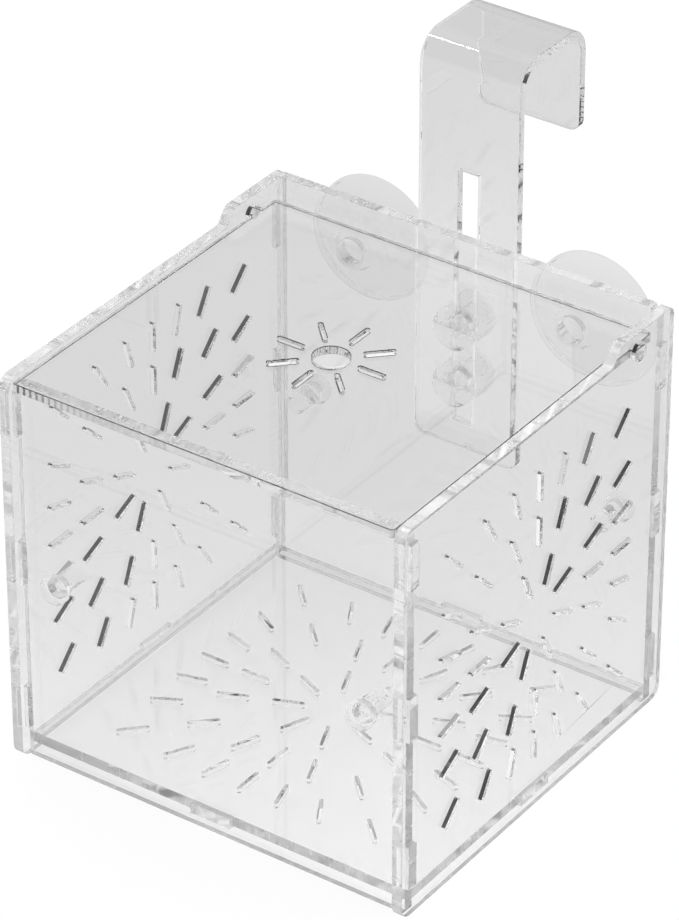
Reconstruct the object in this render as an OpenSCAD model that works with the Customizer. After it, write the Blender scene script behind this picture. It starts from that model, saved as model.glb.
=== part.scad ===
// Hanging fish breeding box of laser-cut clear sheet, with a hinged lid, water slots,
// an adjustable hanger strip and two suction cups.
// X runs across the box, Y from the front to the hanger, Z up. The origin lies on the
// base plane, at the middle of the whole width and depth.

/* [Box] */
// Outside width over the two side walls
box_w = 100; // [90:1:120]
// Depth of the side walls from front edge to rear edge
box_d = 98; // [92:1:120]
// Height of the side walls in front of the ears
wall_h = 94.5; // [90:0.5:110]
// Thickness of the wall and floor sheets
sheet_t = 2.5; // [2:0.1:3]
// How far the front and back walls sit in from the side walls' edges
wall_inset = 2.5; // [2:0.1:3.5]
// Corner radius of the side walls
side_corner_r = 3; // [1:0.5:4]
// Corner radius of the front and back walls
end_corner_r = 0.8; // [0.5:0.1:1.2]
// How far the back wall stands above the ears
back_rise = 1; // [0.5:0.1:2]

/* [Hinge ears] */
// Length of the ear's level top, from the side wall's rear edge
ear_l = 19.2; // [18:0.1:22]
// Length of the S-shaped slope in front of the level top
ear_slope = 4.6; // [3:0.1:6]
// Height of the ear above the side wall
ear_rise = 3.5; // [3:0.1:5]
// Radius of the ear's rear top corner
ear_r = 2; // [1:0.1:2.5]

/* [Finger joints] */
// Number of fingers on each side of the front and back walls
finger_count = 3; // [2:1:3]
// Height of one finger
finger_h = 10.5; // [8:0.5:12]
// Lower edge of the lowest finger above the base
finger_low = 6.6; // [6:0.1:9]
// Upper edge of the highest finger below the front wall's top
finger_high = 1.5; // [1:0.1:4]
// Width of the tab on each side of the floor
tab_w = 10; // [8:0.5:14]
// Height of the floor's underside above the base
floor_z = 2.5; // [2:0.1:3.5]
// Gap that the laser leaves around each finger and tab
kerf = 0.1; // [0.05:0.05:0.2]
// Thickness of the glue line between two sheets, and of the film under each seated head
glue = 0.05; // [0.03:0.01:0.1]

/* [Water slots] */
// Width of one water slot
slot_w = 0.9; // [0.7:0.1:1.8]
// Length of one water slot
slot_l = 7.2; // [5:0.1:8]
// Distance from the pattern's centre to the first ring of slots
ring_first = 6.8; // [6.8:0.1:8]
// Distance from one ring of slots to the next
ring_step = 10.8; // [9:0.1:11]
// Number of rings
ring_count = 3; // [1:1:3]
// Number of slots in the first ring, and what each further ring adds
ring_spokes = 8; // [6:1:8]

/* [Lid] */
// Thickness of the lid
lid_t = 2; // [1.8:0.1:2.2]
// Depth of the lid's top face below the side walls' top edges
lid_sink = 0.5; // [0.3:0.1:1]
// Gap between the lid and each side wall
lid_side_gap = 0.5; // [0.3:0.1:0.8]
// Distance of the lid's front edge behind the side walls' front edges
lid_front = 0.5; // [0.3:0.1:1.5]
// Gap between the closed lid and the front wall's top edge
lid_rest_gap = 0.2; // [0.1:0.05:0.4]
// Gap between the lid's rear edge and the back wall
lid_tail_gap = 1.1; // [0.8:0.1:1.5]
// Corner radius of the lid
lid_corner_r = 1; // [0.5:0.1:2]
// Diameter of the finger hole in the lid
finger_hole_d = 8; // [6:0.5:10]
// Length of one slot around the finger hole
lid_slot_l = 6.6; // [5:0.1:8]
// Distance of the hinge axis in front of the side walls' rear edges
pivot_inset = 12.7; // [12.2:0.1:13.4]
// Diameter that the lid's hinge tabs are rounded to
pin_d = 4.3; // [4:0.1:4.6]
// Running gap around the hinge tabs
pin_gap = 0.05; // [0.03:0.01:0.1]
// Distance of the hinge tabs' ends inside the side walls' outer faces
pin_end_gap = 0.2; // [0.1:0.1:0.5]

/* [Hanger strip] */
// Width of the strip
strip_w = 25; // [20:0.5:28]
// Thickness of the strip
strip_t = 2; // [1.5:0.1:2.5]
// Sliding gap between the strip and the back wall
slide_gap = 0.2; // [0.1:0.05:0.3]
// Lower end of the strip above the base
strip_z = 45.4; // [42:0.1:48]
// Height of the strip from its lower end to the top of the hook
strip_h = 97.1; // [90:0.1:110]
// Clear width of the hook
hook_gap = 21; // [15:0.5:26]
// Length of the hook's outer leg, measured from the top of the hook
hook_leg = 25.5; // [18:0.5:30]
// Inner radius of the two bends
bend_r = 4.5; // [3:0.1:6]
// Corner radius of the strip's two ends
strip_corner_r = 2.5; // [1:0.5:4]
// Distance from the strip's lower end to its slot
strip_slot_low = 6.3; // [5:0.1:7]
// Length of the strip's slot
strip_slot_l = 62; // [50:1:64]

/* [Clamp screws] */
// Height of the middle between the two screws
clamp_z = 70; // [68:0.5:73]
// Distance between the two screws
clamp_pitch = 14; // [12:0.5:15]
// Diameter of the screw's shank
screw_d = 4.8; // [4:0.1:5]
// Gap around the shank in the strip's slot and in the back wall
screw_gap = 0.1; // [0.1:0.05:0.2]
// Diameter of the screw's head
screw_head_d = 10; // [8:0.1:11]
// Height of the screw's head
screw_head_t = 3; // [2:0.1:3.5]
// Width of the driver slot in the head
driver_w = 1.2; // [0.8:0.1:1.5]
// Depth of the driver slot in the head
driver_deep = 1.4; // [1:0.1:1.8]
// Length of the shank that shows behind the nut
screw_tip = 1; // [0.5:0.1:1.5]
// Diameter of the thumb nut
nut_d = 10.6; // [9:0.1:11.4]
// Height of the thumb nut
nut_t = 3.5; // [2.5:0.1:3.6]
// Number of grip grooves around the nut
nut_grooves = 16; // [12:1:20]
// Radius of one grip groove
nut_groove_r = 0.5; // [0.3:0.1:0.6]
// Gap between the nut and the strip
nut_seat_gap = 0.2; // [0.1:0.05:0.3]
// Running gap between the nut and the shank
thread_gap = 0.05; // [0.03:0.01:0.1]

/* [Suction cups] */
// Diameter of the cup's rim
cup_d = 30; // [24:0.5:32]
// Gap between the cup's rim and the strip's edge
cup_gap = 0.5; // [0.4:0.1:2]
// Distance of the rim's plane behind the back wall
cup_stand = 7.5; // [7:0.1:9]
// Depth of the cup's hollow
cup_hollow = 4; // [3:0.1:4]
// Width of the flat rim
cup_rim = 0.7; // [0.5:0.1:1]
// Thickness of the cup's edge
cup_edge = 0.6; // [0.5:0.1:1]
// Diameter of the hub that seats on the back wall
cup_hub_d = 10; // [8.5:0.1:12]
// Height of the hub
cup_hub_t = 2; // [1.5:0.1:2.2]
// Diameter of the neck in the back wall
cup_neck_d = 5.8; // [5:0.1:6]
// Gap around the neck
cup_neck_gap = 0.1; // [0.1:0.05:0.2]
// Diameter of the button inside the box
button_d = 7; // [6.6:0.1:7.4]
// Height of the button
button_t = 2.8; // [2.4:0.1:3]
// Gap between the button and the lid's rear edge as the lid swings by
button_gap = 1.1; // [0.3:0.1:1.5]

/* [Pegs] */
// Distance of the pegs from the side walls' outer faces
peg_side = 11.5; // [10:0.5:14]
// Height of the pegs above the base
peg_z = 46; // [40:0.5:52]
// Diameter of the peg's shank
peg_d = 4.4; // [3.6:0.1:5]
// Gap around the shank in the wall
peg_gap = 0.1; // [0.05:0.05:0.2]
// Diameter of the peg's head
peg_head_d = 6.6; // [6.2:0.1:8]
// Height of the peg's head
peg_head_t = 2.2; // [1.5:0.1:2.4]
// Reach of the peg inside the box
peg_reach = 6; // [4:0.5:8]
// How far the snap ridge stands out around the shank
ridge = 0.4; // [0.3:0.1:0.5]

/* [Hidden] */
$fn = 48;

// Overshoot of every cutter beyond the face that it cuts
over = 1;

// Depth of the whole object, from the side walls' front edges to the hook's outer leg
total_d = box_d - wall_inset + slide_gap + 2 * strip_t + hook_gap;

// Inner width between the side walls, and the width of what is glued in between them
inner_w = box_w - 2 * sheet_t;
glued_w = inner_w - 2 * glue;

// Places along Y
front_y = -total_d / 2;
rear_y = front_y + box_d;
front_in_y = front_y + wall_inset + sheet_t;
back_in_y = rear_y - wall_inset - sheet_t;
back_out_y = rear_y - wall_inset;
mid_y = (front_y + rear_y) / 2;
pivot_y = rear_y - pivot_inset;
strip_y = back_out_y + slide_gap;
strip_out_y = strip_y + strip_t;
leg_y = strip_out_y + hook_gap;

// Heights
ear_z = wall_h + ear_rise;
lid_z = wall_h - lid_sink - lid_t;
pivot_z = lid_z + lid_t / 2;
front_h = lid_z - lid_rest_gap;
back_h = ear_z + back_rise;
finger_pitch = (front_h - finger_low - finger_high - finger_h) / (finger_count - 1);
strip_top = strip_z + strip_h;

// Lid
lid_w = inner_w - 2 * lid_side_gap;
lid_front_y = front_y + lid_front;
lid_rear_y = back_in_y - lid_tail_gap;
lid_mid_y = (lid_front_y + lid_rear_y) / 2;
lid_reach = norm([lid_rear_y - pivot_y, lid_t / 2]);

// Suction cups: the button's dome and how low it must sit for the lid to swing by
cup_x = strip_w / 2 + cup_gap + cup_d / 2;
dome_h = button_t - glue;
dome_r = (pow(button_d / 2, 2) + pow(dome_h, 2)) / (2 * dome_h);
dome_dy = back_in_y - button_t + dome_r - pivot_y;
cup_z = pivot_z - sqrt(pow(lid_reach + button_gap + dome_r, 2) - pow(dome_dy, 2));
cup_steps = 10;
slope_steps = 12;

// Pegs
peg_x = box_w / 2 - peg_side;

// Colours
sheet_colour = [0.86, 0.90, 0.92, 0.55];
lid_colour = [0.90, 0.93, 0.95, 0.55];
strip_colour = [0.82, 0.87, 0.90, 0.6];
screw_colour = [0.92, 0.93, 0.92, 0.8];
cup_colour = [0.90, 0.92, 0.90, 0.7];

// What a round corner takes off a sheet whose corner lies at the origin
module corner_waste(r) {
    difference() {
        translate([-over, -over]) square(r + over);
        translate([r, r]) circle(r);
    }
}

// Flat sheet with its own radius at each corner: radii = [low left, low right, top right, top left]
module sheet_outline(w, h, radii) {
    difference() {
        square([w, h]);
        corner_waste(radii[0]);
        translate([w, 0]) mirror([1, 0]) corner_waste(radii[1]);
        translate([w, h]) rotate(180) corner_waste(radii[2]);
        translate([0, h]) mirror([0, 1]) corner_waste(radii[3]);
    }
}

// Slot of the given length along +X, with round ends
module round_slot(length) {
    r = slot_w / 2;
    translate([r, -r]) square([length - slot_w, slot_w]);
    translate([r, 0]) circle(r);
    translate([length - r, 0]) circle(r);
}

// One ring of radial slots. The ring is drawn out to a square, and its slots start on it.
module slot_ring(start, spokes, turn, is_square, length) {
    for (i = [0 : spokes - 1]) {
        a = turn + i * 360 / spokes;
        stretch = is_square ? 1 / max(abs(cos(a)), abs(sin(a))) : 1;
        rotate(a) translate([start * stretch, 0]) round_slot(length);
    }
}

// The starburst of water slots that the side walls and the floor share
module starburst() {
    for (k = [1 : ring_count]) {
        spokes = ring_spokes * k;
        turn = k == 1 ? 180 / spokes : 0;
        slot_ring(ring_first + (k - 1) * ring_step, spokes, turn, k > 1, slot_l);
    }
}

// Outline laid in the plane of a side wall, at x and one thickness towards +X
module along_x(x, t) {
    translate([x, 0, 0]) rotate([90, 0, 90]) linear_extrude(t) children();
}

// Outline laid in the plane of an end wall, at y and one thickness towards +Y
module along_y(y, t) {
    translate([0, y + t, 0]) rotate([90, 0, 0]) linear_extrude(t) children();
}

// Round piece whose profile is turned about an axis along +Y through x and z
module turned(x, y, z) {
    translate([x, y, z]) rotate([-90, 0, 0]) rotate_extrude() children();
}

// Cylinder along +Y
module rod_y(x, y, z, d, l) {
    translate([x, y, z]) rotate([-90, 0, 0]) cylinder(d = d, h = l);
}

// Outline of a side wall with its ear, whose front is an S-shaped slope
module side_outline() {
    top_y = rear_y - ear_l;
    foot_y = top_y - ear_slope;
    slope = [for (i = [0 : slope_steps])
        [top_y - ear_slope * i / slope_steps, wall_h + ear_rise * (1 + cos(180 * i / slope_steps)) / 2]];
    translate([front_y, 0])
        sheet_outline(box_d, wall_h, [side_corner_r, side_corner_r, 0, side_corner_r]);
    difference() {
        polygon(concat([[foot_y, wall_h - over], [rear_y, wall_h - over], [rear_y, ear_z]], slope));
        translate([rear_y, ear_z]) rotate(180) corner_waste(ear_r);
    }
}

// Closed slots in a side wall for the fingers of the end wall whose outer face is at y
module finger_slots(y) {
    for (i = [0 : finger_count - 1])
        translate([y - kerf, finger_low + i * finger_pitch - kerf])
            square([sheet_t + 2 * kerf, finger_h + 2 * kerf]);
}

module side_panel(x) {
    along_x(x, sheet_t) difference() {
        side_outline();
        finger_slots(front_y + wall_inset);
        finger_slots(back_in_y);
        translate([mid_y - tab_w / 2 - kerf, floor_z - kerf])
            square([tab_w + 2 * kerf, sheet_t + 2 * kerf]);
        translate([pivot_y, pivot_z]) circle(d = pin_d + 2 * pin_gap);
        translate([mid_y, wall_h / 2]) starburst();
    }
}

// Outline of an end wall with its fingers, and a closed slot for the floor's tab
module end_outline(h) {
    difference() {
        union() {
            translate([-glued_w / 2, 0])
                sheet_outline(glued_w, h, [end_corner_r, end_corner_r, end_corner_r, end_corner_r]);
            for (i = [0 : finger_count - 1])
                translate([-box_w / 2, finger_low + i * finger_pitch]) square([box_w, finger_h]);
        }
        translate([-tab_w / 2 - kerf, floor_z - kerf])
            square([tab_w + 2 * kerf, sheet_t + 2 * kerf]);
    }
}

// Round holes for the left and the right peg
module peg_holes() {
    for (side = [-1, 1])
        translate([side * peg_x, peg_z]) circle(d = peg_d + 2 * peg_gap);
}

module front_panel() {
    color(sheet_colour) along_y(front_y + wall_inset, sheet_t) difference() {
        end_outline(front_h);
        peg_holes();
    }
}

module back_panel() {
    color(sheet_colour) along_y(back_in_y, sheet_t) difference() {
        end_outline(back_h);
        peg_holes();
        for (side = [-1, 1]) {
            translate([side * cup_x, cup_z]) circle(d = cup_neck_d + 2 * cup_neck_gap);
            translate([0, clamp_z + side * clamp_pitch / 2]) circle(d = screw_d + 2 * screw_gap);
        }
    }
}

module left_panel() {
    color(sheet_colour) side_panel(-box_w / 2);
}

module right_panel() {
    color(sheet_colour) side_panel(box_w / 2 - sheet_t);
}

// The floor, with one tab in the middle of each side that reaches through its wall
module floor_panel() {
    floor_d = back_in_y - front_in_y;
    color(sheet_colour) translate([0, mid_y, floor_z]) linear_extrude(sheet_t) difference() {
        union() {
            square([glued_w, floor_d - 2 * glue], center = true);
            square([box_w, tab_w], center = true);
            square([tab_w, floor_d + 2 * sheet_t], center = true);
        }
        starburst();
    }
}

// The lid's plate has a round finger hole in one ring of slots. Its hinge tabs have the plate's
// thickness, with edges rounded to the bore that they turn in.
module lid() {
    tab_l = box_w - 2 * pin_end_gap;
    color(lid_colour) {
        translate([0, 0, lid_z]) linear_extrude(lid_t) difference() {
            translate([-lid_w / 2, lid_front_y])
                sheet_outline(lid_w, lid_rear_y - lid_front_y,
                    [lid_corner_r, lid_corner_r, lid_corner_r, lid_corner_r]);
            translate([0, lid_mid_y]) circle(d = finger_hole_d);
            translate([0, lid_mid_y]) slot_ring(ring_first, ring_spokes, 0, false, lid_slot_l);
        }
        intersection() {
            translate([-tab_l / 2, pivot_y, pivot_z]) rotate([0, 90, 0]) cylinder(d = pin_d, h = tab_l);
            translate([-tab_l / 2 - over, pivot_y - pin_d, lid_z]) cube([tab_l + 2 * over, 2 * pin_d, lid_t]);
        }
    }
}

// A quarter of the strip's bend, in the quadrant of +Y and +Z
module bend_quarter() {
    intersection() {
        difference() {
            circle(bend_r + strip_t);
            circle(bend_r);
        }
        square(bend_r + strip_t);
    }
}

// The strip's side profile: a long leg on the back wall, a top run and a short outer leg
module strip_profile() {
    bend_z = strip_top - strip_t - bend_r;
    translate([strip_y, strip_z]) square([strip_t, bend_z - strip_z]);
    translate([strip_out_y + bend_r, bend_z]) mirror([1, 0]) bend_quarter();
    translate([strip_out_y + bend_r, strip_top - strip_t]) square([hook_gap - 2 * bend_r, strip_t]);
    translate([leg_y - bend_r, bend_z]) bend_quarter();
    translate([leg_y, strip_top - hook_leg]) square([strip_t, bend_z - strip_top + hook_leg]);
}

// Material that the round lower corners take off one leg of the strip
module leg_corners(y, z) {
    along_y(y - over, strip_t + 2 * over)
        for (side = [-1, 1])
            translate([side * strip_w / 2, z])
                mirror([side < 0 ? 0 : 1, 0]) corner_waste(strip_corner_r);
}

module hanger_strip() {
    slot_d = screw_d + 2 * screw_gap;
    color(strip_colour) difference() {
        along_x(-strip_w / 2, strip_w) strip_profile();
        leg_corners(strip_y, strip_z);
        leg_corners(leg_y, strip_top - hook_leg);
        along_y(strip_y - over, strip_t + 2 * over)
            translate([-slot_d / 2, strip_z + strip_slot_low]) square([slot_d, strip_slot_l]);
    }
}

// Slotted pan-head screw, put in from inside the box
module clamp_screw(z) {
    head_y = back_in_y - glue - screw_head_t;
    end_y = strip_out_y + nut_seat_gap + nut_t + screw_tip;
    edge = screw_head_t / 3;
    color(screw_colour) difference() {
        union() {
            turned(0, head_y, z) intersection() {
                translate([0, 0]) square([screw_head_d / 2, screw_head_t]);
                union() {
                    translate([0, edge]) square([screw_head_d / 2, screw_head_t]);
                    square([screw_head_d / 2 - edge, screw_head_t]);
                    translate([screw_head_d / 2 - edge, edge]) circle(edge);
                }
            }
            rod_y(0, back_in_y - over, z, screw_d, end_y - back_in_y + over);
        }
        translate([-screw_head_d, head_y - over, z - driver_w / 2])
            cube([2 * screw_head_d, driver_deep + over, driver_w]);
    }
}

module upper_clamp_screw() {
    clamp_screw(clamp_z + clamp_pitch / 2);
}

module lower_clamp_screw() {
    clamp_screw(clamp_z - clamp_pitch / 2);
}

// Round thumb nut with grip grooves around it
module clamp_nut(z) {
    nut_y = strip_out_y + nut_seat_gap;
    color(screw_colour) difference() {
        rod_y(0, nut_y, z, nut_d, nut_t);
        rod_y(0, nut_y - over, z, screw_d + 2 * thread_gap, nut_t + 2 * over);
        for (i = [0 : nut_grooves - 1]) {
            a = i * 360 / nut_grooves;
            rod_y(nut_d / 2 * cos(a), nut_y - over, z + nut_d / 2 * sin(a), 2 * nut_groove_r, nut_t + 2 * over);
        }
    }
}

module upper_clamp_nut() {
    clamp_nut(clamp_z + clamp_pitch / 2);
}

module lower_clamp_nut() {
    clamp_nut(clamp_z - clamp_pitch / 2);
}

// Soft cup: a domed button inside the box, a neck through the back wall, a hub and a thin bell.
// The profile runs from the button's top along the outside to the rim, and back inside the hollow.
module suction_cup(x) {
    rim_y = sheet_t + cup_stand;
    rim_r = cup_d / 2;
    hub_r = cup_hub_d / 2;
    hub_y = sheet_t + cup_hub_t;
    fall = rim_y - cup_edge - hub_y;
    inner_r = rim_r - cup_rim;
    dome_end = asin(button_d / 2 / dome_r);
    button = [for (i = [0 : cup_steps])
        let (a = dome_end * i / cup_steps)
        [dome_r * sin(a), -button_t + dome_r * (1 - cos(a))]];
    bell = [for (i = [0 : cup_steps])
        let (a = 90 * i / cup_steps)
        [hub_r + (rim_r - hub_r) * sin(a), hub_y + fall * (1 - cos(a))]];
    hollow = [for (i = [0 : cup_steps])
        let (a = 90 * i / cup_steps)
        [inner_r * cos(a), rim_y - cup_hollow * sin(a)]];
    color(cup_colour) turned(x, back_in_y, cup_z) polygon(concat(
        button,
        [[cup_neck_d / 2, -glue], [cup_neck_d / 2, sheet_t + glue], [hub_r, sheet_t + glue]],
        bell,
        [[rim_r, rim_y]],
        hollow
    ));
}

module left_suction_cup() {
    suction_cup(-cup_x);
}

module right_suction_cup() {
    suction_cup(cup_x);
}

// Push-in peg: a round head outside, a shank through the wall, a snap ridge and a rounded end.
// It is drawn along +Y from its head's outer face.
module peg() {
    seat_y = peg_head_t - glue;
    in_y = peg_head_t + sheet_t + glue;
    end_y = in_y + peg_reach;
    r = peg_d / 2;
    round_r = peg_head_t / 3;
    rotate([-90, 0, 0]) rotate_extrude() {
        translate([0, round_r]) square([peg_head_d / 2, seat_y - round_r]);
        square([peg_head_d / 2 - round_r, seat_y]);
        intersection() {
            translate([peg_head_d / 2 - round_r, round_r]) circle(round_r);
            square([peg_head_d / 2, seat_y]);
        }
        square([r, end_y - ridge]);
        square([r - ridge, end_y]);
        polygon([[0, in_y], [r + ridge, in_y], [r, in_y + 2 * ridge], [0, in_y + 2 * ridge]]);
        intersection() {
            translate([r - ridge, end_y - ridge]) circle(ridge);
            square([r, end_y]);
        }
    }
}

module left_front_peg() {
    color(screw_colour) translate([-peg_x, front_y + wall_inset - peg_head_t, peg_z]) peg();
}

module right_front_peg() {
    color(screw_colour) translate([peg_x, front_y + wall_inset - peg_head_t, peg_z]) peg();
}

module left_back_peg() {
    color(screw_colour) translate([-peg_x, back_out_y + peg_head_t, peg_z]) rotate(180) peg();
}

module right_back_peg() {
    color(screw_colour) translate([peg_x, back_out_y + peg_head_t, peg_z]) rotate(180) peg();
}

front_panel();
back_panel();
left_panel();
right_panel();
floor_panel();
lid();
hanger_strip();
upper_clamp_screw();
lower_clamp_screw();
upper_clamp_nut();
lower_clamp_nut();
left_suction_cup();
right_suction_cup();
left_front_peg();
right_front_peg();
left_back_peg();
right_back_peg();
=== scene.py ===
import math

import bpy
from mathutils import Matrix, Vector


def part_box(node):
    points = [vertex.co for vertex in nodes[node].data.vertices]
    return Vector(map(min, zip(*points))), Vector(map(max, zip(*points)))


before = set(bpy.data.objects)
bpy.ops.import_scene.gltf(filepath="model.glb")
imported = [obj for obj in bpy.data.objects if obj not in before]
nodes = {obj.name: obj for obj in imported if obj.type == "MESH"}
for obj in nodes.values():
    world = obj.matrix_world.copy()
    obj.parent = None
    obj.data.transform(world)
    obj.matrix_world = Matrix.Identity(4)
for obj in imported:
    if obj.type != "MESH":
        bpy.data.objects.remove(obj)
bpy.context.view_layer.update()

MM = 0.001

# The sheets: node and the axis that the laser's beam cut through it
SHEETS = {
    "front_panel": "Y",
    "back_panel": "Y",
    "left_panel": "X",
    "right_panel": "X",
    "floor_panel": "Z",
    "lid": "Z",
}
# Where each sheet has water slots or round holes: middle and reach, in millimetres
HOLES = {
    "front_panel": [((0, -56.6, 47), 40)],
    "back_panel": [((0, 33.9, 47), 42)],
    "left_panel": [((-48.75, -11.35, 47.25), 42), ((-48.75, 24.95, 93), 3.5)],
    "right_panel": [((48.75, -11.35, 47.25), 42), ((48.75, 24.95, 93), 3.5)],
    "floor_panel": [((0, -11.35, 3.75), 42)],
    "lid": [((0, -14.15, 93), 16)],
}
FASTENERS = [
    "upper_clamp_screw",
    "lower_clamp_screw",
    "upper_clamp_nut",
    "lower_clamp_nut",
    "left_front_peg",
    "right_front_peg",
    "left_back_peg",
    "right_back_peg",
]
CUPS = ["left_suction_cup", "right_suction_cup"]


# ---------------------------------------------------------------- node helpers
class Wiring:
    """Adds nodes to one tree. An input is a number, a tuple or another node's output."""

    def __init__(self, tree):
        self.tree = tree
        self.column = 0

    def add(self, kind, inputs=None, **settings):
        node = self.tree.nodes.new("ShaderNode" + kind)
        node.location = (self.column * 180, 0)
        self.column += 1
        for name, value in settings.items():
            setattr(node, name, value)
        for name, value in (inputs or {}).items():
            socket = node.inputs[name]
            if isinstance(value, bpy.types.NodeSocket):
                self.tree.links.new(value, socket)
            else:
                socket.default_value = value
        return node

    def math(self, operation, a, b=0.0, clamp=False):
        node = self.add("Math", {0: a, 1: b}, operation=operation, use_clamp=clamp)
        return node.outputs[0]

    def ramp(self, value, low, high, to_low=0.0, to_high=1.0):
        node = self.add(
            "MapRange",
            {
                "Value": value,
                "From Min": low,
                "From Max": high,
                "To Min": to_low,
                "To Max": to_high,
            },
            interpolation_type="SMOOTHSTEP",
        )
        return node.outputs["Result"]

    def mix(self, factor, a, b):
        node = self.add("Mix", data_type="FLOAT")
        for index, value in ((0, factor), (2, a), (3, b)):
            socket = node.inputs[index]
            if isinstance(value, bpy.types.NodeSocket):
                self.tree.links.new(value, socket)
            else:
                socket.default_value = value
        return node.outputs[0]


def new_group(name, inputs, outputs):
    """An empty node group with named sockets, and its wiring, input node and output node."""
    tree = bpy.data.node_groups.new(name, "ShaderNodeTree")
    for label, kind, value in inputs:
        socket = tree.interface.new_socket(label, in_out="INPUT", socket_type="NodeSocket" + kind)
        if value is not None:
            socket.default_value = value
    for label, kind in outputs:
        tree.interface.new_socket(label, in_out="OUTPUT", socket_type="NodeSocket" + kind)
    wires = Wiring(tree)
    start = tree.nodes.new("NodeGroupInput")
    end = tree.nodes.new("NodeGroupOutput")
    return tree, wires, start, end


def place_group(wires, tree, inputs):
    node = wires.tree.nodes.new("ShaderNodeGroup")
    node.node_tree = tree
    for name, value in inputs.items():
        if isinstance(value, bpy.types.NodeSocket):
            wires.tree.links.new(value, node.inputs[name])
        else:
            node.inputs[name].default_value = value
    return node


# ---------------------------------------------------------------- shared effects
def make_dust():
    """Fine dust and lint: a mask of small specks at a few sizes."""
    tree, w, start, end = new_group(
        "fine_dust",
        [("Place", "Vector", None), ("Amount", "Float", 0.5)],
        [("Specks", "Float")],
    )
    small = w.add("TexVoronoi", {"Vector": start.outputs["Place"], "Scale": 900.0})
    large = w.add("TexVoronoi", {"Vector": start.outputs["Place"], "Scale": 260.0})
    patch = w.add("TexNoise", {"Vector": start.outputs["Place"], "Scale": 35.0, "Detail": 3.0})
    a = w.ramp(small.outputs["Distance"], 0.16, 0.06)
    b = w.ramp(large.outputs["Distance"], 0.07, 0.03)
    both = w.math("MAXIMUM", a, b)
    where = w.ramp(patch.outputs["Fac"], 0.45, 0.75)
    mask = w.math("MULTIPLY", both, where)
    out = w.math("MULTIPLY", mask, start.outputs["Amount"], clamp=True)
    w.tree.links.new(out, end.inputs["Specks"])
    return tree


def make_scratches():
    """Hair scratches from handling: long thin lines in two slanting directions."""
    tree, w, start, end = new_group(
        "hair_scratches",
        [("Place", "Vector", None), ("Amount", "Float", 0.5)],
        [("Lines", "Float")],
    )
    total = None
    for turn, scale in ((0.5, 700.0), (-1.1, 520.0)):
        turned = w.add(
            "Mapping",
            {
                "Vector": start.outputs["Place"],
                "Rotation": (turn, turn * 0.7, turn * 1.3),
                "Scale": (1.0, 0.02, 0.02),
            },
        )
        cells = {"Vector": turned.outputs[0], "Scale": scale}
        lines = w.add("TexVoronoi", cells, feature="DISTANCE_TO_EDGE")
        thin = w.ramp(lines.outputs["Distance"], 0.02, 0.0)
        total = thin if total is None else w.math("MAXIMUM", total, thin)
    patch = w.add("TexNoise", {"Vector": start.outputs["Place"], "Scale": 60.0, "Detail": 2.0})
    where = w.ramp(patch.outputs["Fac"], 0.5, 0.7)
    mask = w.math("MULTIPLY", total, where)
    out = w.math("MULTIPLY", mask, start.outputs["Amount"], clamp=True)
    w.tree.links.new(out, end.inputs["Lines"])
    return tree


def make_waviness():
    """Slow waviness of cast sheet or moulded plastic, as a height in metres."""
    tree, w, start, end = new_group(
        "slow_waviness",
        [("Place", "Vector", None), ("Scale", "Float", 40.0), ("Depth", "Float", 0.00002)],
        [("Height", "Float")],
    )
    noise = w.add(
        "TexNoise",
        {"Vector": start.outputs["Place"], "Scale": start.outputs["Scale"], "Detail": 2.0},
    )
    out = w.math("MULTIPLY", noise.outputs["Fac"], start.outputs["Depth"])
    w.tree.links.new(out, end.inputs["Height"])
    return tree


def make_laser_lines():
    """Striations that the laser leaves across a cut edge, as a height in metres."""
    tree, w, start, end = new_group(
        "laser_lines",
        [
            ("Place", "Vector", None),
            ("Squeeze", "Vector", (1.0, 1.0, 1.0)),
            ("Depth", "Float", 0.00002),
        ],
        [("Height", "Float"), ("Haze", "Float")],
    )
    squeezed = w.add(
        "VectorMath",
        {0: start.outputs["Place"], 1: start.outputs["Squeeze"]},
        operation="MULTIPLY",
    )
    fine = w.add("TexNoise", {"Vector": squeezed.outputs[0], "Scale": 1800.0, "Detail": 2.0})
    broad = w.add("TexNoise", {"Vector": squeezed.outputs[0], "Scale": 420.0, "Detail": 3.0})
    both = w.math("ADD", fine.outputs["Fac"], broad.outputs["Fac"])
    out = w.math("MULTIPLY", both, start.outputs["Depth"])
    w.tree.links.new(out, end.inputs["Height"])
    haze = w.ramp(broad.outputs["Fac"], 0.35, 0.7)
    w.tree.links.new(haze, end.inputs["Haze"])
    return tree


def make_corner_ripples():
    """Waves that the laser head leaves after it turns a corner, in relief, and painted shade on
    their crests. They fade along the cut.
    """
    tree, w, start, end = new_group(
        "corner_ripples_and_painted_shade",
        [
            ("Along", "Float", 0.0),
            ("Corner", "Float", 0.0),
            ("Pitch", "Float", 0.0016),
            ("Fade", "Float", 0.015),
            ("Depth", "Float", 0.00003),
        ],
        [("Height", "Float"), ("Shade", "Float")],
    )
    run = w.math("SUBTRACT", start.outputs["Along"], start.outputs["Corner"])
    turns = w.math("MULTIPLY", w.math("DIVIDE", run, start.outputs["Pitch"]), 2 * math.pi)
    wave = w.math("SINE", turns)
    faded = w.math("DIVIDE", run, start.outputs["Fade"])
    size = w.math("EXPONENT", w.math("MULTIPLY", faded, -1.0))
    out = w.math("MULTIPLY", w.math("MULTIPLY", wave, size), start.outputs["Depth"])
    w.tree.links.new(out, end.inputs["Height"])
    # Painted shade: a mask on the crests that darkens the plastic's colour.
    shade = w.math("MULTIPLY", w.ramp(wave, 0.1, 0.6), size, clamp=True)
    w.tree.links.new(shade, end.inputs["Shade"])
    return tree


dust_group = make_dust()
scratch_group = make_scratches()
wave_group = make_waviness()
laser_group = make_laser_lines()
ripple_and_shade_group = make_corner_ripples()


# ---------------------------------------------------------------- finishes
CLEAR = (0.99, 0.99, 0.99, 1.0)
WHITE = (1.0, 1.0, 1.0, 1.0)
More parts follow.
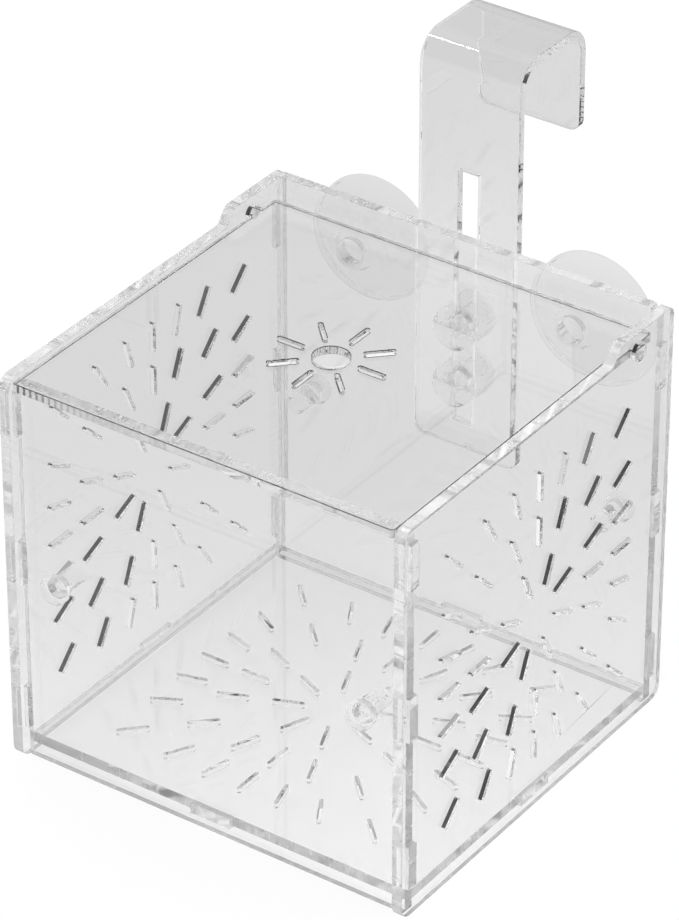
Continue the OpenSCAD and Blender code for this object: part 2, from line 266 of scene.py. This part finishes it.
# How much of the lamp's light passes one surface on its way to the floor
LAMP_PASSES = (0.93, 0.93, 0.93, 1.0)
ACRYLIC_IOR = 1.49
# Lower than the real plastics', whose true values show these too strongly
CUT_EDGE_IOR = 1.2
FASTENER_IOR = 1.09
CUP_IOR = 1.05
# Roughness of a speck of dust or a scratch
WORN = 0.35
# Painted shade: the grey that the ripples' crests turn the plastic's colour to, in place of the
# dark bands that refraction draws along the lid's front edge
RIPPLE_PAINTED_SHADE_GREY = 0.08
# Stretches the laser's lines along the axis that the beam cuts through
ACROSS = {"X": (0.04, 1.0, 1.0), "Y": (1.0, 0.04, 1.0), "Z": (1.0, 1.0, 0.04)}


def clear_plastic(
    name,
    tint=CLEAR,
    ior=ACRYLIC_IOR,
    roughness=0.0,
    clear=1.0,
    wave=None,
    dust=0.0,
    scratches=0.0,
    laser=None,
    ripples=None,
):
    """Clear plastic that refracts the room and lets lamp light through to the floor.

    clear is the share that isn't milky. wave holds the scale and depth of the waviness,
    laser the beam's axis and the depth of its lines, and ripples the corner, pitch, fade and
    depth of the waves along X, whose crests also get painted shade. Lengths are in metres.
    """
    material = bpy.data.materials.new(name)
    material.use_nodes = True
    material.node_tree.nodes.clear()
    w = Wiring(material.node_tree)
    place = w.add("TexCoord").outputs["Object"]
    heights = []
    rough = roughness
    if dust or scratches:
        specks = place_group(w, dust_group, {"Place": place, "Amount": dust}).outputs["Specks"]
        hairs = place_group(w, scratch_group, {"Place": place, "Amount": scratches})
        marks = w.math("MAXIMUM", specks, hairs.outputs["Lines"])
        rough = w.ramp(marks, 0.0, 1.0, roughness, WORN)
    if wave:
        scale, depth = wave
        slow = place_group(w, wave_group, {"Place": place, "Scale": scale, "Depth": depth})
        heights.append(slow.outputs["Height"])
    if laser:
        beam, depth = laser
        cut = place_group(w, laser_group, {"Place": place, "Squeeze": ACROSS[beam], "Depth": depth})
        heights.append(cut.outputs["Height"])
        if roughness:
            haze = w.ramp(cut.outputs["Haze"], 0.0, 1.0, roughness, roughness * 2)
            rough = w.math("MAXIMUM", rough, haze)
    if ripples:
        corner, pitch, fade, depth = ripples
        along = w.add("SeparateXYZ", {"Vector": place}).outputs["X"]
        turned = place_group(
            w,
            ripple_and_shade_group,
            {"Along": along, "Corner": corner, "Pitch": pitch, "Fade": fade, "Depth": depth},
        )
        heights.append(turned.outputs["Height"])
        # Painted shade: the ripples' crests darken the colour to a grey.
        grey = w.ramp(turned.outputs["Shade"], 0.0, 1.0, 1.0, RIPPLE_PAINTED_SHADE_GREY)
        tint = w.add("CombineColor", {"Red": grey, "Green": grey, "Blue": grey}).outputs[0]
    height = heights[0]
    for more in heights[1:]:
        height = w.math("ADD", height, more)
    bump = w.add("Bump", {"Strength": 1.0, "Distance": 1.0, "Height": height})
    surface = w.add(
        "BsdfPrincipled",
        {
            "Base Color": tint,
            "Metallic": 0.0,
            "Roughness": rough,
            "IOR": ior,
            "Transmission Weight": clear,
            "Normal": bump.outputs["Normal"],
        },
    )
    passing = w.add("BsdfTransparent", {"Color": LAMP_PASSES})
    light_path = w.add("LightPath")
    either = w.add(
        "MixShader",
        {0: light_path.outputs["Is Shadow Ray"], 1: surface.outputs[0], 2: passing.outputs[0]},
    )
    w.add("OutputMaterial", {"Surface": either.outputs[0]})
    return material


sheet_face = clear_plastic("polished_sheet", wave=(22.0, 0.01 * MM), dust=0.35, scratches=0.3)
cut_edge = {
    beam: clear_plastic(
        "laser_cut_edge_" + beam,
        ior=CUT_EDGE_IOR,
        roughness=0.15,
        clear=0.8,
        dust=0.1,
        laser=(beam, 0.004 * MM),
    )
    for beam in "XYZ"
}
slot_wall = {
    beam: clear_plastic("glossy_slot_wall_" + beam, laser=(beam, depth * MM))
    for beam, depth in (("X", 0.0012), ("Y", 0.0012), ("Z", 0.006))
}
# The lid's front edge: laser ripples in relief, and painted shade on their crests.
rippled_and_shaded_lid_front = clear_plastic(
    "rippled_lid_front_painted_shade",
    roughness=0.05,
    clear=0.75,
    dust=0.1,
    laser=("Z", 0.004 * MM),
    ripples=(-47.4 * MM, 1.6 * MM, 16 * MM, 0.04 * MM),
)
# Painted shade: near-black tinted plastic on the lid's rounded corners draws the thin dark lines
# along its edges.
painted_shade_corner = clear_plastic(
    "painted_shade_lid_corner", tint=(0.05, 0.05, 0.05, 1.0), roughness=0.02, laser=("Z", 0.002 * MM)
)
strip_face = clear_plastic("bent_strip_sheet", wave=(30.0, 0.02 * MM), dust=0.3, scratches=0.3)
moulded = clear_plastic(
    "moulded_fastener",
    ior=FASTENER_IOR,
    roughness=0.02,
    clear=0.95,
    wave=(700.0, 0.3 * MM),
    dust=0.2,
    scratches=0.1,
)
soft_clear = clear_plastic(
    "soft_clear_cup", ior=CUP_IOR, roughness=0.05, clear=0.95, wave=(60.0, 0.03 * MM), dust=0.2
)

# Material slots of a sheet: faces, outer edges, slot and hole walls, lid front (ripples with
# painted shade), lid corners (painted shade)
FACE, EDGE, WALL, LID_FRONT, LID_SHADED_CORNER = range(5)
# Material slots of the hanger strip
STRIP_FACE, STRIP_SIDE = range(2)
# Least cosine at which a face counts as square to an axis
SQUARE = 0.99
# Widths of the melted corners, in millimetres
SHEET_MELT = 0.05
LID_MELT = 0.15
STRIP_MELT = 0.15


def finish_node(name, finishes):
    materials = nodes[name].data.materials
    materials.clear()
    for finish in finishes:
        materials.append(finish)


def in_a_hole(name, centre):
    for middle, reach in HOLES[name]:
        if max(abs(centre[k] - middle[k] * MM) for k in range(3)) < reach * MM:
            return True
    return False


def finish_sheet(name, beam):
    """Polished faces, laser-cut outer edges, and glossy walls in the slots and holes."""
    finish_node(name, (sheet_face, cut_edge[beam], slot_wall[beam], rippled_and_shaded_lid_front, painted_shade_corner))
    through = "XYZ".index(beam)
    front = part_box(name)[0][1]
    for polygon in nodes[name].data.polygons:
        if abs(polygon.normal[through]) > SQUARE:
            polygon.material_index = FACE
        elif in_a_hole(name, polygon.center):
            polygon.material_index = WALL
        elif name == "lid" and polygon.normal[1] < -SQUARE and polygon.center[1] < front + MM:
            polygon.material_index = LID_FRONT
        else:
            polygon.material_index = EDGE


def soften_corners(name, width, steps, finish):
    """The laser melts each sharp corner of a sheet to a fine rounding."""
    node = nodes[name]
    weld = node.modifiers.new("join_faces", "WELD")
    weld.merge_threshold = 0.002 * MM
    flat = node.modifiers.new("plain_faces", "DECIMATE")
    flat.decimate_type = "DISSOLVE"
    flat.angle_limit = math.radians(0.5)
    flat.delimit = {"MATERIAL"}
    bevel = node.modifiers.new("melted_corner", "BEVEL")
    bevel.use_clamp_overlap = False
    bevel.width = width * MM
    bevel.segments = steps
    bevel.limit_method = "ANGLE"
    bevel.angle_limit = math.radians(40)
    bevel.material = finish
    true = node.modifiers.new("true_faces", "WEIGHTED_NORMAL")
    true.keep_sharp = True


for name, beam in SHEETS.items():
    finish_sheet(name, beam)
    if name == "lid":
        # The lid's rounded corners take the near-black painted-shade finish.
        soften_corners(name, LID_MELT, 1, LID_SHADED_CORNER)
    else:
        soften_corners(name, SHEET_MELT, 2, WALL)
finish_node("hanger_strip", (strip_face, slot_wall["X"]))
for polygon in nodes["hanger_strip"].data.polygons:
    polygon.material_index = STRIP_SIDE if abs(polygon.normal[0]) > SQUARE else STRIP_FACE
soften_corners("hanger_strip", STRIP_MELT, 2, STRIP_SIDE)
for name in FASTENERS:
    finish_node(name, [moulded])
for name in CUPS:
    finish_node(name, [soft_clear])


# ---------------------------------------------------------------- studio
# Two lines on the floor: the photograph's line of sight, and the line across it
DEPTH_LINE = (-0.575, 0.818, 0.0)
CROSS_LINE = (0.818, 0.575, 0.0)
# How pale the floor is behind the plastic: line, from and to in metres, tone before and
# after. The tones are multiplied. They were matched to the photograph.
FLOOR_TONES = [
    (DEPTH_LINE, -0.12, 0.12, 1.09, 0.70),
    (DEPTH_LINE, 0.17, 0.28, 1.0, 0.88),
    (DEPTH_LINE, -0.32, -0.16, 0.84, 1.0),
    (CROSS_LINE, -0.1, 0.1, 0.95, 1.04),
    (CROSS_LINE, -0.2, -0.09, 0.7, 1.0),
]
# Share of the floor and the room that shows in what the plastic mirrors
MIRROR_SHARE = 0.15
# Share of the floor that glows by itself where it is seen. The rest takes the shadow.
GLOW_SHARE = 0.85
FLOOR_GREY = (0.85, 0.85, 0.85, 1.0)
FLOOR_HALF = 6.0
FLOOR_DROP = 0.2 * MM
# Tones of the room: where it is dark, above the horizon in front of the box and beside it,
# and at the horizon and overhead behind it
ROOM_DARK = 0.012
ROOM_LOW = 0.70
ROOM_HIGH = 0.66
# Light of the room on milky and matte surfaces
ROOM_FILL = 1.2


def make_floor():
    """White to the camera, and graded in what the plastic refracts."""
    h = FLOOR_HALF
    mesh = bpy.data.meshes.new("studio_floor")
    mesh.from_pydata([(-h, -h, 0), (h, -h, 0), (h, h, 0), (-h, h, 0)], [], [(0, 1, 2, 3)])
    floor = bpy.data.objects.new("studio_floor", mesh)
    floor.location.z = -FLOOR_DROP
    bpy.context.scene.collection.objects.link(floor)
    material = bpy.data.materials.new("pale_floor")
    material.use_nodes = True
    material.node_tree.nodes.clear()
    w = Wiring(material.node_tree)
    place = w.add("TexCoord").outputs["Object"]
    light_path = w.add("LightPath").outputs
    tone = w.ramp(light_path["Is Reflection Ray"], 0.0, 1.0, 1.0, MIRROR_SHARE)
    for line, start, end, before, after in FLOOR_TONES:
        way = w.add("VectorMath", {0: place, 1: line}, operation="DOT_PRODUCT").outputs["Value"]
        tone = w.math("MULTIPLY", tone, w.ramp(way, start, end, before, after))
    strength = w.mix(light_path["Is Camera Ray"], tone, 1.0)
    glow = w.add("Emission", {"Color": WHITE, "Strength": strength})
    matte = w.add("BsdfDiffuse", {"Color": FLOOR_GREY})
    seen = w.math("MAXIMUM", light_path["Is Camera Ray"], light_path["Is Glossy Ray"])
    seen = w.math("MAXIMUM", seen, light_path["Is Transmission Ray"])
    share = w.math("MULTIPLY", seen, GLOW_SHARE)
    both = w.add("MixShader", {0: share, 1: matte.outputs[0], 2: glow.outputs[0]})
    w.add("OutputMaterial", {"Surface": both.outputs[0]})
    mesh.materials.append(material)


def make_room():
    """White to the camera. The plastic refracts and mirrors a grey room with a dark front."""
    world = bpy.data.worlds.new("studio_room")
    bpy.context.scene.world = world
    world.use_nodes = True
    world.node_tree.nodes.clear()
    w = Wiring(world.node_tree)
    direction = w.add("TexCoord").outputs["Generated"]
    unit = w.add("VectorMath", {0: direction}, operation="NORMALIZE").outputs["Vector"]
    split = w.add("SeparateXYZ", {"Vector": unit}).outputs
    in_front = w.ramp(split["Y"], 0.40, 0.15)
    above = w.ramp(split["Z"], -0.12, 0.0)
    dark = w.math("MULTIPLY", in_front, above)
    walls = w.mix(dark, w.ramp(split["Z"], 0.0, 0.9, ROOM_LOW, ROOM_HIGH), ROOM_DARK)
    light_path = w.add("LightPath").outputs
    mirrored = w.ramp(light_path["Is Reflection Ray"], 0.0, 1.0, 1.0, MIRROR_SHARE)
    tone = w.math("MULTIPLY", walls, mirrored)
    tone = w.mix(light_path["Is Diffuse Ray"], tone, ROOM_FILL)
    tone = w.mix(light_path["Is Camera Ray"], tone, 1.0)
    shine = w.add("Background", {"Color": WHITE, "Strength": tone})
    w.add("OutputWorld", {"Surface": shine.outputs[0]})


def make_softbox():
    """Round lamp above the box. It shows in what the plastic mirrors, not in what it refracts."""
    place = Vector((-0.867, -0.156, 1.47))
    target = Vector((0.0, 0.038, 0.14))
    lamp = bpy.data.lights.new("overhead_softbox", "AREA")
    lamp.shape = "DISK"
    lamp.size = 0.22
    lamp.energy = 8.0
    holder = bpy.data.objects.new("overhead_softbox", lamp)
    holder.location = place
    holder.visible_transmission = False
    holder.rotation_mode = "QUATERNION"
    holder.rotation_quaternion = (target - place).to_track_quat("-Z", "Y")
    bpy.context.scene.collection.objects.link(holder)


def make_camera():
    """Camera at the photograph's angle, fitted to the box's corners. Lengths in millimetres."""
    azimuth = math.radians(35.13)
    elevation = math.radians(32.83)
    distance = 1083.0
    box_middle = Vector((0.0, -10.35, 45.0))
    to_right, to_top = -0.5, 18.3
    level = Vector((math.sin(azimuth), -math.cos(azimuth), 0.0))
    back = math.cos(elevation) * level + Vector((0.0, 0.0, math.sin(elevation)))
    right = Vector((math.cos(azimuth), math.sin(azimuth), 0.0))
    up = back.cross(right)
    camera = bpy.data.cameras.new("studio_camera")
    camera.sensor_width = 36.0
    camera.lens = 202.03
    camera.clip_start = 0.01
    camera.clip_end = 50.0
    holder = bpy.data.objects.new("studio_camera", camera)
    holder.location = (box_middle + distance * back + to_right * right + to_top * up) * MM
    holder.rotation_mode = "QUATERNION"
    holder.rotation_quaternion = (-back).to_track_quat("-Z", "Y")
    bpy.context.scene.collection.objects.link(holder)
    bpy.context.scene.camera = holder


make_floor()
make_room()
make_softbox()
make_camera()

# Light goes back and forth in the sheets many times before it leaves
BOUNCES = 96
LAYERS = 32
scene = bpy.context.scene
scene.view_settings.view_transform = "Standard"
scene.cycles.max_bounces = BOUNCES
scene.cycles.transmission_bounces = BOUNCES
scene.cycles.glossy_bounces = BOUNCES
scene.cycles.transparent_max_bounces = LAYERS
